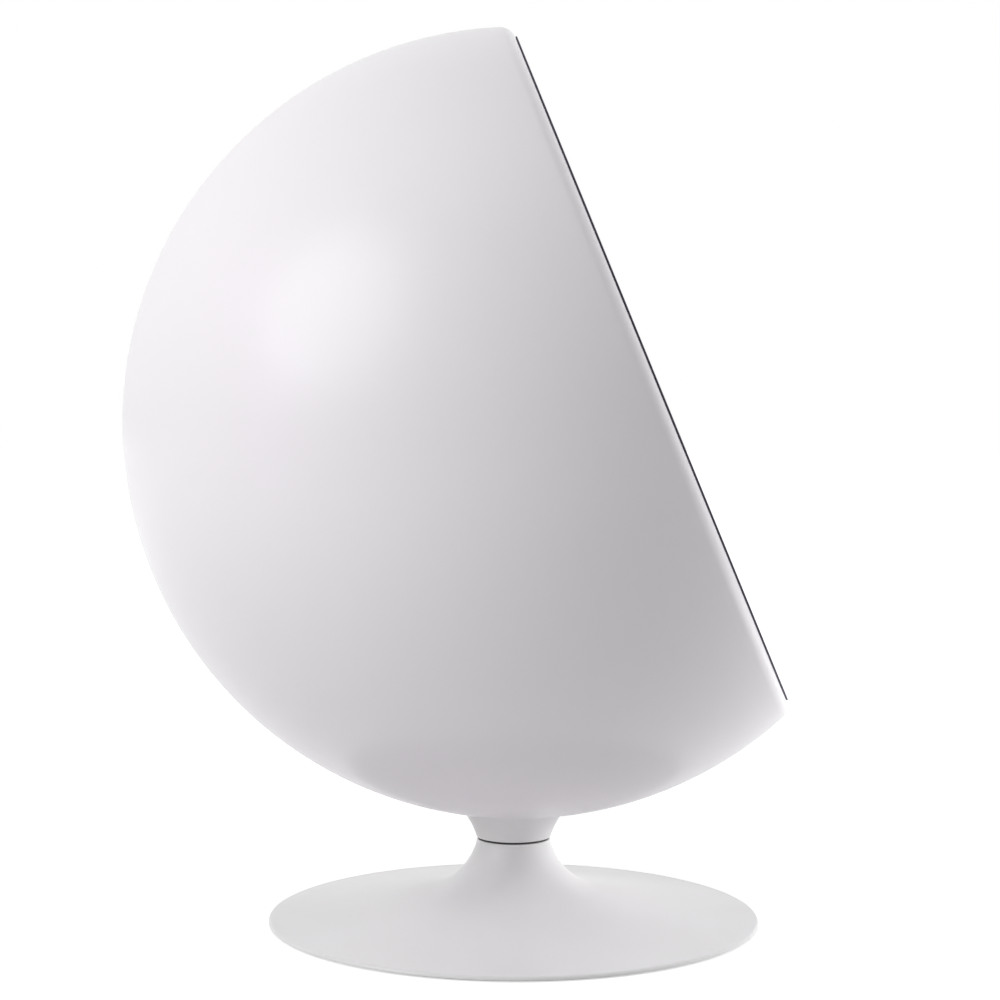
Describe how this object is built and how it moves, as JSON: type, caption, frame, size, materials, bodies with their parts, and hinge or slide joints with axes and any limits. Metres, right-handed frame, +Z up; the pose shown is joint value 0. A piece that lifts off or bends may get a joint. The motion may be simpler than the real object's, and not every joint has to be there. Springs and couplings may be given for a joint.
{
  "type": "pod lounge chair",
  "caption": "Spherical moulded pod chair, lined and cushioned inside, that swivels all the way round on a low trumpet foot.",
  "frame": {"origin": "on the swivel axis at floor level, at the centre of the glide ring's underside", "axes": "+Z up along the swivel axis, -Y out through the opening (the front), +X to the right of a viewer who faces +Y"},
  "size_m": [1.0498, 0.8885, 1.1955],
  "materials": {
    "white_gelcoat": "gloss",
    "white_metal": "gloss",
    "dark_fabric": "matte",
    "dark_rubber": "matte",
    "ballast_iron": "matte",
    "sheet_steel": "satin",
    "machined_steel": "satin",
    "fastener_steel": "satin",
    "bush_bronze": "satin"
  },
  "bodies": {
    "base": {"base_trumpet": "white_metal", "glide_ring": "dark_rubber", "base_ballast": "ballast_iron", "ballast_screws": "fastener_steel", "cover_plate": "sheet_steel", "cover_screws": "fastener_steel", "bearing_tube": "machined_steel", "tube_bolts": "fastener_steel", "lower_bush": "bush_bronze", "upper_bush": "bush_bronze", "thrust_race_lower": "machined_steel"},
    "ball_set": {"ball_cage": "bush_bronze", "bearing_balls": "machined_steel"},
    "seat": {"thrust_race_upper": "machined_steel", "spindle": "machined_steel", "spindle_washer": "bush_bronze", "spindle_circlip": "fastener_steel", "swivel_seal": "dark_rubber", "swivel_collar": "white_metal", "collar_bolts": "fastener_steel", "bolt_washers": "fastener_steel", "clamp_plate": "ballast_iron", "shell": "white_gelcoat", "rim_roll": "dark_fabric", "rim_welt": "dark_fabric", "lining_gores": "dark_fabric", "lining_cap": "dark_fabric", "seat_base_foam": "dark_fabric", "seat_cushion": "dark_fabric", "back_cushion": "dark_fabric"}
  },
  "joints": [
    {"name": "swivel", "type": "hinge", "parent": "base", "child": "seat", "pos_m": [0, 0, 0.1], "axis": [0, 0, 1], "continuous": true},
    {"name": "ball_set_turn", "type": "hinge", "parent": "base", "child": "ball_set", "pos_m": [0, 0, 0.1], "axis": [0, 0, 1], "continuous": true}
  ],
  "couplings": [
    {"joint": "ball_set_turn", "follows": "swivel", "ratio": 0.5}
  ]
}
